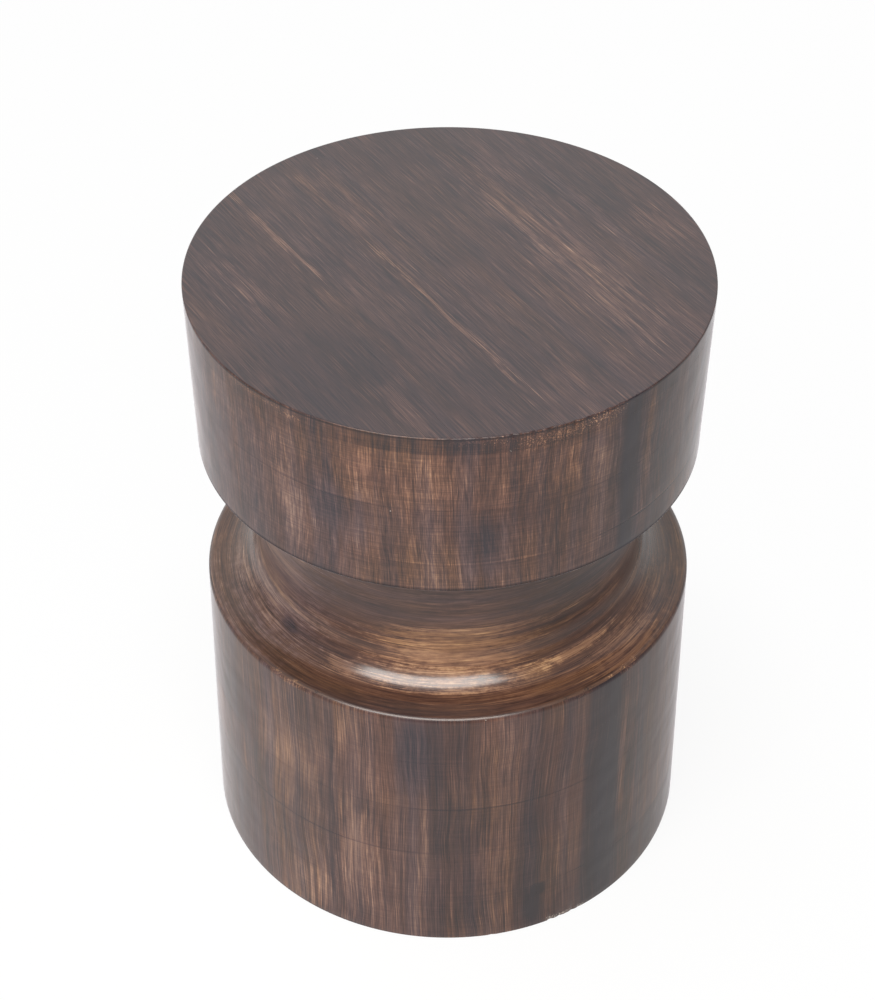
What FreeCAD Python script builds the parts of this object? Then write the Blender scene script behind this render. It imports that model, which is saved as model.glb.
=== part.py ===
import FreeCAD, Part
import math
import os
import Sketcher
from FreeCAD import Placement, Rotation, Vector

# Turned pedestal end table, millimetres, +Z up, origin on the floor at the table's axis.
# The body is glued up from courses of curved blocks with staggered joints, pegged with dowels,
# then turned to one outline with a coved waist. Boards close the top, a screwed panel the base.

BLOCKS_PER_COURSE = 4
DOWELS_PER_BLOCK = 2
TOP_BOARDS = 4

SIZES = {
    "course_thickness": 50.0,
    "top_thickness": 14.0,
    "drum_radius": 191.5,
    "waist_taper": 3.0,
    "foot_round": 1.5,
    "rim_round": 5.0,
    "ledge_flat": 4.5,
    "cove_radius": 32.0,
    "shoulder_round": 2.0,
    "top_arris": 1.0,
    "ledge_below_joint": 4.0,
    "shoulder_above_joint": 24.0,
    "drum_wall": 60.0,
    "neck_wall": 52.0,
    "turning_allowance": 6.0,
    "joint_turn": 20.0,
    "board_turn": -57.0,
    "rebate_width": 20.0,
    "panel_thickness": 9.0,
    "panel_inset": 3.0,
    "panel_gap": 0.5,
    "dowel_radius": 5.0,
    "dowel_length": 30.0,
    "dowel_gap": 0.1,
    "dowel_end_gap": 0.5,
    "screw_radius": 2.0,
    "screw_length": 28.0,
    "screw_tip": 5.0,
    "screw_head_radius": 4.0,
    "screw_head_height": 2.4,
    "screw_gap": 0.1,
    "screw_slot_length": 4.4,
    "screw_slot_width": 0.9,
    "screw_slot_depth": 1.2,
}

# The courses from the floor up: their names, and whether they are bored to the narrow neck core.
COURSES = [
    ("lower_drum_ring_1", False),
    ("lower_drum_ring_2", False),
    ("lower_drum_ring_3", False),
    ("lower_drum_ring_4", False),
    ("ledge_ring", True),
    ("lower_neck_ring", True),
    ("upper_neck_ring", True),
    ("shoulder_ring", True),
    ("upper_drum_ring_1", False),
    ("upper_drum_ring_2", False),
]
NECK_COURSES = [index for index, course in enumerate(COURSES) if course[1]]
LEDGE_COURSE = NECK_COURSES[0]
SHOULDER_COURSE = NECK_COURSES[-1]

doc = FreeCAD.newDocument("pedestal_end_table")
sheet = doc.addObject("Spreadsheet::Sheet", "sizes")
for row, (alias, size) in enumerate(SIZES.items(), start=1):
    sheet.set(f"A{row}", alias)
    sheet.set(f"B{row}", str(size))
    sheet.setAlias(f"B{row}", alias)
doc.recompute()

# Heights and radii that follow from the sizes, as expressions.
BODY_TOP = f"(sizes.course_thickness * {len(COURSES)})"
TABLE_TOP = f"({BODY_TOP} + sizes.top_thickness)"
WAIST_RADIUS = "(sizes.drum_radius - sizes.waist_taper)"
NECK_RADIUS = f"({WAIST_RADIUS} - sizes.rim_round - sizes.ledge_flat - sizes.cove_radius)"
COVE_AXIS = f"({NECK_RADIUS} + sizes.cove_radius)"
LEDGE = f"(sizes.course_thickness * {LEDGE_COURSE + 1} - sizes.ledge_below_joint)"
SHOULDER = f"(sizes.course_thickness * {SHOULDER_COURSE} + sizes.shoulder_above_joint)"
DRUM_BORE = "(sizes.drum_radius - sizes.drum_wall)"
NECK_BORE = f"({NECK_RADIUS} - sizes.neck_wall)"
NECK_BORE_FOOT = f"(sizes.course_thickness * {LEDGE_COURSE})"
NECK_BORE_TOP = f"(sizes.course_thickness * {SHOULDER_COURSE + 1})"
REBATE_RADIUS = f"({DRUM_BORE} + sizes.rebate_width)"
REBATE_DEPTH = "(sizes.panel_inset + sizes.panel_thickness)"
SCREW_CIRCLE = f"({DRUM_BORE} + sizes.rebate_width / 2)"
DRUM_DOWEL_CIRCLE = f"({DRUM_BORE} + sizes.drum_wall / 2)"
NECK_DOWEL_CIRCLE = f"({NECK_BORE} + sizes.neck_wall / 2)"
BLANK_RADIUS = "(sizes.drum_radius + sizes.turning_allowance)"
BOARD_WIDTH = f"(2 * {BLANK_RADIUS} / {TOP_BOARDS})"

BLOCK_TURN = 360.0 / BLOCKS_PER_COURSE
PEG_TURN = BLOCK_TURN / DOWELS_PER_BLOCK
PEGS_PER_JOINT = BLOCKS_PER_COURSE * DOWELS_PER_BLOCK


def value(expression):
    return float(sheet.evalExpression(expression))


def bind(thing, **expressions):
    for name, expression in expressions.items():
        thing.setExpression(name, str(expression))


def raise_to(thing, height):
    thing.setExpression("Placement.Base.z", height)


def turn_about_axis(thing, angle, radius=None):
    """Turns an object about the table's axis, and moves it out to a radius if one is given."""
    thing.Placement = Placement(Vector(0, 0, 0), Rotation(Vector(0, 0, 1), 1))
    thing.setExpression("Placement.Rotation.Angle", angle)
    if radius:
        thing.setExpression("Placement.Base.x", f"{radius} * cos({angle})")
        thing.setExpression("Placement.Base.y", f"{radius} * sin({angle})")


def cylinder(name, radius, height, foot):
    thing = doc.addObject("Part::Cylinder", name)
    bind(thing, Radius=radius, Height=height)
    raise_to(thing, foot)
    return thing


def cone(name, foot_radius, top_radius, height, foot):
    thing = doc.addObject("Part::Cone", name)
    bind(thing, Radius1=foot_radius, Radius2=top_radius, Height=height)
    raise_to(thing, foot)
    return thing


def cut(name, base, tool):
    thing = doc.addObject("Part::Cut", name)
    thing.Base = base
    thing.Tool = tool
    return thing


def common(name, base, tool):
    thing = doc.addObject("Part::Common", name)
    thing.Base = base
    thing.Tool = tool
    return thing


def group(name, members):
    thing = doc.addObject("Part::Compound", name)
    thing.Links = members
    return thing


def fused(name, members):
    thing = doc.addObject("Part::MultiFuse", name)
    thing.Shapes = members
    return thing


def half_section(body, name, corners, rounds):
    """Draws a closed half section in the body's upright plane.

    corners are (radius, height) expressions in order, and rounds gives, for the corner where a
    quarter arc starts, its radius and whether it bulges outwards.
    """
    sketch = body.newObject("Sketcher::SketchObject", name)
    plane = [p for p in body.Origin.OriginFeatures if p.Role == "XZ_Plane"][0]
    sketch.AttachmentSupport = [(plane, "")]
    sketch.MapMode = "FlatFace"
    points = [Vector(value(radius), value(height), 0) for radius, height in corners]
    starts = []
    for index, point in enumerate(points):
        following = points[(index + 1) % len(points)]
        if index in rounds:
            radius, bulges = rounds[index]
            starts.append(add_quarter_arc(sketch, point, following, radius, bulges))
        else:
            line = sketch.addGeometry(Part.LineSegment(point, following))
            starts.append((line, 1, 2))
    for index, (edge, first, last) in enumerate(starts):
        next_edge, next_first, next_last = starts[(index + 1) % len(starts)]
        sketch.addConstraint(Sketcher.Constraint("Coincident", edge, last, next_edge, next_first))
        for kind, expression in zip(("DistanceX", "DistanceY"), corners[index]):
            rule = Sketcher.Constraint(kind, -1, 1, edge, first, value(expression))
            number = sketch.addConstraint(rule)
            sketch.setExpression(f"Constraints[{number}]", expression)
    return sketch


def add_quarter_arc(sketch, start, end, radius, bulges):
    """Adds a quarter arc and its radius, and gives its edge number and its ends in order."""
    first, last = (start, end) if bulges else (end, start)
    chord = last - first
    centre = (first + last) * 0.5 + Vector(-chord.y, chord.x, 0) * 0.5
    from_angle = math.atan2(first.y - centre.y, first.x - centre.x)
    circle = Part.Circle(centre, Vector(0, 0, 1), value(radius))
    arc = sketch.addGeometry(Part.ArcOfCircle(circle, from_angle, from_angle + math.pi / 2))
    number = sketch.addConstraint(Sketcher.Constraint("Radius", arc, value(radius)))
    sketch.setExpression(f"Constraints[{number}]", radius)
    return (arc, 1, 2) if bulges else (arc, 2, 1)


def turned_form():
    """The glued-up body as it leaves the lathe: the turned outline with the stepped hollow core."""
    body = doc.addObject("PartDesign::Body", "turned_form")
    outline = half_section(body, "outline", [
        ("0", "0"),
        ("sizes.drum_radius - sizes.foot_round", "0"),
        ("sizes.drum_radius", "sizes.foot_round"),
        (WAIST_RADIUS, f"{LEDGE} - sizes.rim_round"),
        (f"{WAIST_RADIUS} - sizes.rim_round", LEDGE),
        (COVE_AXIS, LEDGE),
        (NECK_RADIUS, f"{LEDGE} + sizes.cove_radius"),
        (NECK_RADIUS, f"{SHOULDER} - sizes.cove_radius"),
        (COVE_AXIS, SHOULDER),
        (f"{WAIST_RADIUS} - sizes.shoulder_round", SHOULDER),
        (WAIST_RADIUS, f"{SHOULDER} + sizes.shoulder_round"),
        ("sizes.drum_radius", f"{TABLE_TOP} - sizes.top_arris"),
        ("sizes.drum_radius - sizes.top_arris", TABLE_TOP),
        ("0", TABLE_TOP),
    ], {
        1: ("sizes.foot_round", True),
        3: ("sizes.rim_round", True),
        5: ("sizes.cove_radius", False),
        7: ("sizes.cove_radius", False),
        9: ("sizes.shoulder_round", True),
    })
    turning = body.newObject("PartDesign::Revolution", "turning")
    turning.Profile = outline
    turning.ReferenceAxis = (outline, ["V_Axis"])
    turning.Angle = 360
    doc.recompute()
    full_volume = body.Shape.Volume

    core = half_section(body, "core", [
        ("0", "0"),
        (REBATE_RADIUS, "0"),
        (REBATE_RADIUS, REBATE_DEPTH),
        (DRUM_BORE, REBATE_DEPTH),
        (DRUM_BORE, NECK_BORE_FOOT),
        (NECK_BORE, NECK_BORE_FOOT),
        (NECK_BORE, NECK_BORE_TOP),
        (DRUM_BORE, NECK_BORE_TOP),
        (DRUM_BORE, BODY_TOP),
        ("0", BODY_TOP),
    ], {})
    boring = body.newObject("PartDesign::Groove", "boring")
    boring.Profile = core
    boring.ReferenceAxis = (core, ["V_Axis"])
    boring.Angle = 360
    doc.recompute()
    if body.Shape.Volume >= full_volume:
        raise ValueError("the hollow core was not cut")
    return body


def joint_pegs(name, joint, radius, length):
    """Upright pegs through the joint above a course, two to each block."""
    near_neck = joint in NECK_COURSES and joint + 1 in NECK_COURSES
    circle = NECK_DOWEL_CIRCLE if near_neck else DRUM_DOWEL_CIRCLE
    foot = f"sizes.course_thickness * {joint + 1} - {length} / 2"
    pegs = []
    for peg in range(PEGS_PER_JOINT):
        thing = cylinder(f"{name}_{joint + 1}_{peg + 1}", radius, length, foot)
        turn_about_axis(thing, f"(sizes.joint_turn + {PEG_TURN * (peg + 0.5)})", circle)
        raise_to(thing, foot)
        pegs.append(thing)
    return pegs


def screw_places(name, make):
    """Makes one thing at each screw of the base panel, two to each block of the first course."""
    things = []
    for place in range(PEGS_PER_JOINT):
        angle = f"(sizes.joint_turn + {PEG_TURN * (place + 0.5)})"
        thing = make(f"{name}_{place + 1}")
        turn_about_axis(thing, angle, SCREW_CIRCLE)
        things.append(thing)
    return things


def screw(name):
    """A countersunk cross-slot wood screw, head down, with its head flush in the base panel."""
    head = cone(f"{name}_head", "sizes.screw_head_radius", "sizes.screw_radius",
                "sizes.screw_head_height", "sizes.panel_inset")
    shank_length = "sizes.screw_length - sizes.screw_tip"
    shank = cylinder(f"{name}_shank", "sizes.screw_radius", shank_length, "sizes.panel_inset")
    tip = cone(f"{name}_tip", "sizes.screw_radius", "0", "sizes.screw_tip",
               f"sizes.panel_inset + {shank_length}")
    solid = fused(f"{name}_solid", [head, shank, tip])
    slots = []
    for side, (across, along) in enumerate((("Length", "Width"), ("Width", "Length"))):
        slot = doc.addObject("Part::Box", f"{name}_slot_{side + 1}")
        slot.setExpression(across, "sizes.screw_slot_length")
        slot.setExpression(along, "sizes.screw_slot_width")
        slot.setExpression("Height", "sizes.screw_slot_depth")
        slot.setExpression("Placement.Base.x", f"-{slot.Name}.Length / 2")
        slot.setExpression("Placement.Base.y", f"-{slot.Name}.Width / 2")
        raise_to(slot, "sizes.panel_inset")
        slots.append(slot)
    return cut(name, solid, fused(f"{name}_slots", slots))


def screw_hole(name):
    """The hole for one screw: countersunk and clear in the panel, and a pilot in the block."""
    sink = cone(f"{name}_sink", "sizes.screw_head_radius + sizes.screw_gap",
                "sizes.screw_radius + sizes.screw_gap", "sizes.screw_head_height", "sizes.panel_inset")
    shaft = cylinder(f"{name}_shaft", "sizes.screw_radius + sizes.screw_gap",
                     "sizes.screw_length", "sizes.panel_inset")
    return fused(name, [sink, shaft])


def course_blocks(index, form, peg_holes, screw_holes):
    """One course as its curved blocks, with joints staggered against the courses above and below."""
    name = COURSES[index][0]
    stagger = BLOCK_TURN / 2 if index % 2 else 0
    foot = f"sizes.course_thickness * {index}"
    blocks = []
    for number in range(BLOCKS_PER_COURSE):
        label = f"{name}_block_{number + 1}"
        blank = cylinder(f"{label}_blank", BLANK_RADIUS, "sizes.course_thickness", foot)
        blank.Angle = BLOCK_TURN
        turn_about_axis(blank, f"(sizes.joint_turn + {stagger + BLOCK_TURN * number})")
        raise_to(blank, foot)
        tools = [peg_holes[joint] for joint in (index - 1, index) if joint in peg_holes]
        if index == 0:
            tools.append(screw_holes)
        turned = common(f"{label}_turned", blank, form)
        holes = tools[0] if len(tools) == 1 else group(f"{label}_holes", tools)
        block = cut(label, turned, holes)
        block.Label = label
        blocks.append(block)
    return blocks


def top_boards(form):
    """The top panel: parallel boards over the last course, turned to the drum's edge."""
    boards = []
    for number in range(TOP_BOARDS):
        label = f"top_board_{number + 1}"
        blank = doc.addObject("Part::Box", f"{label}_blank")
        bind(blank, Length=f"2 * {BLANK_RADIUS}", Width=BOARD_WIDTH, Height="sizes.top_thickness")
        turn_about_axis(blank, "sizes.board_turn")
        side = f"({BOARD_WIDTH} * {number} - {BLANK_RADIUS})"
        along, across = "cos(sizes.board_turn)", "sin(sizes.board_turn)"
        blank.setExpression("Placement.Base.x", f"-{BLANK_RADIUS} * {along} - {side} * {across}")
        blank.setExpression("Placement.Base.y", f"-{BLANK_RADIUS} * {across} + {side} * {along}")
        raise_to(blank, BODY_TOP)
        board = common(label, blank, form)
        board.Label = label
        boards.append(board)
    return boards


def base_panel(screw_holes):
    disc = cylinder("base_panel_disc", f"{REBATE_RADIUS} - sizes.panel_gap",
                    "sizes.panel_thickness", "sizes.panel_inset")
    panel = cut("base_panel", disc, screw_holes)
    panel.Label = "base_panel"
    return panel


def main():
    form = turned_form()
    joints = range(len(COURSES) - 1)
    hole_radius = "sizes.dowel_radius + sizes.dowel_gap"
    hole_length = "(sizes.dowel_length + 2 * sizes.dowel_end_gap)"
    peg_holes = {}
    dowels = []
    for joint in joints:
        holes = joint_pegs("peg_hole", joint, hole_radius, hole_length)
        peg_holes[joint] = group(f"peg_holes_{joint + 1}", holes)
        dowels += joint_pegs("dowel", joint, "sizes.dowel_radius", "sizes.dowel_length")
    screw_holes = group("screw_holes", screw_places("screw_hole", screw_hole))

    nodes = []
    for index in range(len(COURSES)):
        nodes += course_blocks(index, form, peg_holes, screw_holes)
    nodes += top_boards(form)
    nodes.append(base_panel(screw_holes))
    nodes.append(group("locating_dowels", dowels))
    nodes.append(group("base_panel_screws", screw_places("screw", screw)))
    doc.recompute()

    for thing in doc.Objects:
        if "Invalid" in thing.State or "Error" in thing.State:
            raise ValueError(f"{thing.Name} failed: {thing.State}")
    for node in nodes:
        if node.Shape.isNull() or not node.Shape.isValid() or not node.Shape.Solids:
            raise ValueError(f"{node.Label} has no valid solid")

    os.makedirs("parts", exist_ok=True)
    for node in nodes:
        node.Shape.exportStep(f"parts/{node.Label}.step")
    box = Part.makeCompound([node.Shape for node in nodes]).optimalBoundingBox(False, False)
    print(f"{len(nodes)} nodes, {box.XLength:.1f} x {box.YLength:.1f} x {box.ZLength:.1f} mm")


main()
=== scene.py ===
import math
import bpy
from mathutils import Matrix, Vector


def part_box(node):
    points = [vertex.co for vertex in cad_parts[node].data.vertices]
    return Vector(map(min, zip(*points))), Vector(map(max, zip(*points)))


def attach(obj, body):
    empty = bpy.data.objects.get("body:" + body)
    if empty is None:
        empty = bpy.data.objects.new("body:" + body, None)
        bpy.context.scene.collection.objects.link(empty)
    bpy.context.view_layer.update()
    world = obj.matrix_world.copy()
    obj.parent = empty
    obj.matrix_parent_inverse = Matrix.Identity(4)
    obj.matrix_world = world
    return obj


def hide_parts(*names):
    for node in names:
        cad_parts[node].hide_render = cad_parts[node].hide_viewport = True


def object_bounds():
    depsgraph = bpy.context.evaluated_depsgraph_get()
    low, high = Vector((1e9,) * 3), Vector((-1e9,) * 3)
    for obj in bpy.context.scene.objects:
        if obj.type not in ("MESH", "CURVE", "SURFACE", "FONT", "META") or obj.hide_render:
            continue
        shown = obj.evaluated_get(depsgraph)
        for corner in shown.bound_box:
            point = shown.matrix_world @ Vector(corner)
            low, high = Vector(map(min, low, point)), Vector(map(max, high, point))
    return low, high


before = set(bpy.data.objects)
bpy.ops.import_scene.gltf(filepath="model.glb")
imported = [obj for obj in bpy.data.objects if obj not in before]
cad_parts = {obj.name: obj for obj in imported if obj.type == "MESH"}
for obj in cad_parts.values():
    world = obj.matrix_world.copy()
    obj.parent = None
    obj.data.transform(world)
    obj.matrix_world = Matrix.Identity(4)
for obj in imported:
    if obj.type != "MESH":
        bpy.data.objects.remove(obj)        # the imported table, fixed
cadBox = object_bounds()
mm = 0.001
tableTop = cadBox[1].z
drumRadius = cadBox[1].x
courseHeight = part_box("lower_drum_ring_1_block_1")[1].z
print("frame loaded:", len(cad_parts), "nodes, top at", round(tableTop / mm, 1), "mm")

# the lathe outline that all the glued-up courses share
turned = {
    "waistTaper": 3 * mm,            # the drums narrow this much towards the waist
    "footRound": 1.5 * mm,
    "rimRound": 5 * mm,
    "ledgeFlat": 4.5 * mm,
    "coveRadius": 32 * mm,
    "shoulderRound": 2 * mm,
    "topArris": 1 * mm,
    "ledgeHeight": 246 * mm,
    "shoulderHeight": 374 * mm,
    "rowSpacing": 6 * mm,
    "footSteps": 4,                  # points along the rounds and the cove
    "rimSteps": 12,
    "coveSteps": 28,
    "shoulderSteps": 6,
    "smoothAngle": 12,               # degrees; edges that turn more stay sharp
}


def onDrum(azimuth, height, radius=drumRadius):
    angle = math.radians(azimuth)
    return Vector((radius * math.cos(angle), radius * math.sin(angle), height))


# Node helpers

def feed(tree, node, inputs):
    # another node's socket is linked, and anything else is set as a constant
    for socket, value in inputs.items():
        if isinstance(value, bpy.types.NodeSocket):
            tree.links.new(value, node.inputs[socket])
        else:
            node.inputs[socket].default_value = value


def put(tree, kind, inputs, **settings):
    node = tree.nodes.new(kind)
    for name, setting in settings.items():
        setattr(node, name, setting)
    feed(tree, node, inputs)
    return node


def calc(tree, operation, first, second=0.0):
    return put(tree, "ShaderNodeMath", {0: first, 1: second}, operation=operation).outputs[0]


def vector(tree, operation, first, second=(0, 0, 0)):
    node = put(tree, "ShaderNodeVectorMath", {0: first, 1: second}, operation=operation)
    return node.outputs["Value" if operation in ("LENGTH", "DOT_PRODUCT") else "Vector"]


def remap(tree, value, fromLow, fromHigh, toLow=0.0, toHigh=1.0):
    sockets = {"Value": value, "From Min": fromLow, "From Max": fromHigh, "To Min": toLow, "To Max": toHigh}
    return put(tree, "ShaderNodeMapRange", sockets, interpolation_type="SMOOTHSTEP").outputs["Result"]


def noise(tree, place, scale, detail=2.0, roughness=0.5):
    sockets = {"Vector": place, "Scale": scale, "Detail": detail, "Roughness": roughness}
    return put(tree, "ShaderNodeTexNoise", sockets).outputs["Fac"]


def mixColour(tree, factor, first, second):
    return put(tree, "ShaderNodeMix", {0: factor, 6: first, 7: second}, data_type="RGBA").outputs[2]


def weigh(tree, start, *parts):
    # adds up masks about their middle: each part is (mask, middle, weight)
    total = start
    for mask, middle, weight in parts:
        centred = calc(tree, "MULTIPLY", calc(tree, "SUBTRACT", mask, middle), weight)
        total = calc(tree, "ADD", total, centred)
    return total


def heightOf(tree, position):
    return put(tree, "ShaderNodeSeparateXYZ", {0: position}).outputs[2]


def combine(tree, x, y, z):
    return put(tree, "ShaderNodeCombineXYZ", {0: x, 1: y, 2: z}).outputs[0]


def sway(tree, place, reach):
    # moves a place about in slow waves
    waves = put(tree, "ShaderNodeTexNoise", {"Vector": place, "Scale": 7.0, "Detail": 2.0}).outputs["Color"]
    centred = vector(tree, "SUBTRACT", waves, (0.5, 0.5, 0.5))
    return vector(tree, "ADD", place, vector(tree, "MULTIPLY", centred, reach))


def newGroup(name, inputs, outputs):
    tree = bpy.data.node_groups.new(name, "ShaderNodeTree")
    for label, kind in inputs:
        tree.interface.new_socket(label, in_out="INPUT", socket_type="NodeSocket" + kind)
    for label, kind in outputs:
        tree.interface.new_socket(label, in_out="OUTPUT", socket_type="NodeSocket" + kind)
    return tree, tree.nodes.new("NodeGroupInput").outputs, tree.nodes.new("NodeGroupOutput")


def useGroup(tree, group, inputs):
    return put(tree, "ShaderNodeGroup", inputs, node_tree=group).outputs


def newMaterial(name):
    material = bpy.data.materials.new(name)
    material.use_nodes = True
    tree = material.node_tree
    shader = tree.nodes["Principled BSDF"]
    place = tree.nodes.new("ShaderNodeTexCoord").outputs["Object"]
    return material, tree, shader, place


# Shared effects of the finish

effects = {
    # scale, detail and roughness of the noise behind each kind of stroke
    "longHairs": (1700.0, 2.0, 0.6), "shortHairs": (1500.0, 2.0, 0.6), "strokes": (340.0, 3.0, 0.6),
    "bands": (60.0, 3.0, 0.5), "glints": (420.0, 2.0, 0.55), "tints": (75.0, 3.0, 0.6),
    "hairShares": (0.82, 0.18),      # of the long and the short hairs
    "glintRange": (0.62, 0.76),
    "glintShift": (3.1, 1.7, 5.3),   # glints and tints lie apart from the strokes
    "patchFade": (1.15, 0.4),        # where a patch begins and where it is full, as shares of its reach
    "seamWidth": (0.9 * mm, 0.3 * mm), "seamScale": 9.0, "seamRange": (0.45, 0.62),
    "speckSize": (0.6 * mm, 0.3 * mm),
    "crumbNoise": (3.0, 0.7), "crumbStart": 0.6, "crumbSpread": 5.0,
}


def brushStrokesGroup():
    # Squeeze draws the strokes out along their run, and Lengthen does it again for the longest of them
    tree, given, result = newGroup("brushStrokes", [
        ("Place", "Vector"), ("Squeeze", "Vector"), ("Lengthen", "Vector"), ("Wander", "Vector")], [
        ("Hairs", "Float"), ("Strokes", "Float"), ("Bands", "Float"), ("Glints", "Float"),
        ("Tints", "Float")])
    drawn = vector(tree, "MULTIPLY", sway(tree, given["Place"], given["Wander"]), given["Squeeze"])
    longer = vector(tree, "MULTIPLY", drawn, given["Lengthen"])
    shorter = vector(tree, "DIVIDE", drawn, given["Lengthen"])
    apart = vector(tree, "ADD", drawn, effects["glintShift"])
    longShare, shortShare = effects["hairShares"]
    hairs = weigh(tree, 0.5, (noise(tree, longer, *effects["longHairs"]), 0.5, longShare),
                  (noise(tree, shorter, *effects["shortHairs"]), 0.5, shortShare))
    glints = noise(tree, apart, *effects["glints"])
    feed(tree, result, {
        "Hairs": hairs, "Strokes": noise(tree, drawn, *effects["strokes"]),
        "Bands": noise(tree, longer, *effects["bands"]), "Tints": noise(tree, apart, *effects["tints"]),
        "Glints": remap(tree, glints, *effects["glintRange"])})
    return tree


def softPatchGroup():
    # adds one lighter or darker place to what comes in: squarish, frayed along the strokes, and cut off at
    # the seams of its course
    tree, given, result = newGroup("softPatch", [
        ("Before", "Float"), ("Position", "Vector"), ("Centre", "Vector"), ("Reach", "Vector"),
        ("Fray", "Float"), ("Strength", "Float"), ("Foot", "Float"), ("Head", "Float")], [("After", "Float")])
    fromCentre = vector(tree, "SUBTRACT", given["Position"], given["Centre"])
    away = vector(tree, "DIVIDE", fromCentre, given["Reach"])
    apart = calc(tree, "SQRT", vector(tree, "LENGTH", vector(tree, "MULTIPLY", away, away)))
    inside = remap(tree, calc(tree, "ADD", apart, given["Fray"]), *effects["patchFade"])
    height = heightOf(tree, given["Position"])
    above = calc(tree, "GREATER_THAN", height, given["Foot"])
    below = calc(tree, "LESS_THAN", height, given["Head"])
    kept = calc(tree, "MULTIPLY", inside, calc(tree, "MULTIPLY", above, below))
    shift = calc(tree, "MULTIPLY", kept, given["Strength"])
    feed(tree, result, {"After": calc(tree, "ADD", given["Before"], shift)})
    return tree


def stainColourGroup():
    # cover 0 is bare wood and 1 a full dark coat; gold turns the wood from copper to honey, and ash greys it
    tree, given, result = newGroup("stainColour", [("Cover", "Float"), ("Gold", "Float"), ("Ash", "Float")],
                                   [("Color", "Color")])
    stops = [
        (0.0, (0.42, 0.24, 0.14), (0.46, 0.28, 0.13), (0.40, 0.26, 0.2)),
        (0.25, (0.205, 0.1, 0.068), (0.26, 0.135, 0.06), (0.2, 0.127, 0.1)),
        (0.5, (0.1, 0.046, 0.033), (0.122, 0.059, 0.03), (0.102, 0.061, 0.06)),
        (0.75, (0.052, 0.023, 0.018), (0.056, 0.028, 0.018), (0.051, 0.031, 0.035)),
        (1.0, (0.022, 0.012, 0.012), (0.022, 0.014, 0.012), (0.02, 0.016, 0.023)),
    ]
    columns = []
    for column in (1, 2, 3):
        node = put(tree, "ShaderNodeValToRGB", {"Fac": given["Cover"]})
        ramp = node.color_ramp
        while len(ramp.elements) < len(stops):
            ramp.elements.new(0.5)
        for element, stop in zip(ramp.elements, stops):
            element.position = stop[0]
            element.color = (*stop[column], 1.0)
        columns.append(node.outputs["Color"])
    warm = mixColour(tree, given["Gold"], *columns[:2])
    feed(tree, result, {"Color": mixColour(tree, given["Ash"], warm, columns[2])})
    return tree


def courseSeamsGroup():
    # the level glue lines, seen only where stain has gathered in them
    tree, given, result = newGroup("courseSeams", [("Position", "Vector"), ("Pitch", "Float")],
                                   [("Line", "Float")])
    height = heightOf(tree, given["Position"])
    layers = calc(tree, "ADD", calc(tree, "DIVIDE", height, given["Pitch"]), 0.5)
    toSeam = calc(tree, "ABSOLUTE", calc(tree, "SUBTRACT", calc(tree, "FRACT", layers), 0.5))
    line = remap(tree, calc(tree, "MULTIPLY", toSeam, given["Pitch"]), *effects["seamWidth"])
    gathered = remap(tree, noise(tree, given["Position"], effects["seamScale"]), *effects["seamRange"])
    feed(tree, result, {"Line": calc(tree, "MULTIPLY", line, gathered)})
    return tree


def paleSpecksGroup():
    tree, given, result = newGroup("paleSpecks", [("Position", "Vector"), ("Density", "Float")],
                                   [("Speck", "Float")])
    cells = put(tree, "ShaderNodeTexVoronoi", {"Vector": given["Position"], "Scale": given["Density"]})
    reach = calc(tree, "DIVIDE", cells.outputs["Distance"], given["Density"])
    feed(tree, result, {"Speck": remap(tree, reach, *effects["speckSize"])})
    return tree


def crumblyEdgeGroup():
    # frays a worn place into crumbs instead of strokes
    tree, given, result = newGroup("crumblyEdge", [("Position", "Vector"), ("Fineness", "Float")],
                                   [("Fray", "Float")])
    crumbs = noise(tree, given["Position"], given["Fineness"], *effects["crumbNoise"])
    feed(tree, result, {"Fray": weigh(tree, effects["crumbStart"], (crumbs, 0.5, effects["crumbSpread"]))})
    return tree


brushStrokes = brushStrokesGroup()
softPatch = softPatchGroup()
stainColour = stainColourGroup()
courseSeams = courseSeamsGroup()
paleSpecks = paleSpecksGroup()
crumblyEdge = crumblyEdgeGroup()
print("shared finish effects ready")


def addPatches(tree, position, fray, patches):
    total = 0.0
    for centre, reach, strength, *limits in patches:
        foot, head = limits or (-1.0, 1.0)
        sockets = {"Before": total, "Position": position, "Centre": centre, "Reach": reach, "Fray": fray,
                   "Strength": strength, "Foot": foot, "Head": head}
        total = useGroup(tree, softPatch, sockets)["After"]
    return total


def brushed(tree, place, look):
    return useGroup(tree, brushStrokes, {"Place": place, "Squeeze": look["squeeze"],
                                         "Lengthen": look["lengthen"], "Wander": look["wander"]})


# what all the stained finishes have in common
anyFinish = {
    "dabNoise": (4.0, 0.65), "dabFray": 1.2, "blotchScale": 14.0, "crumbFineness": 850.0,
    "goldScale": 11.0, "goldRange": (0.38, 0.65), "speckCover": 0.6, "paleWood": (0.62, 0.55, 0.48, 1.0),
    "usualCover": 0.6, "coverMatt": -0.1,      # more cover than usual shines more, less shines less
    "hairMatt": 0.15, "hairDepth": 0.3 * mm, "hazeRoughness": 0.2, "hazeTint": (0.95, 0.93, 1.0, 1.0),
}


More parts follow.
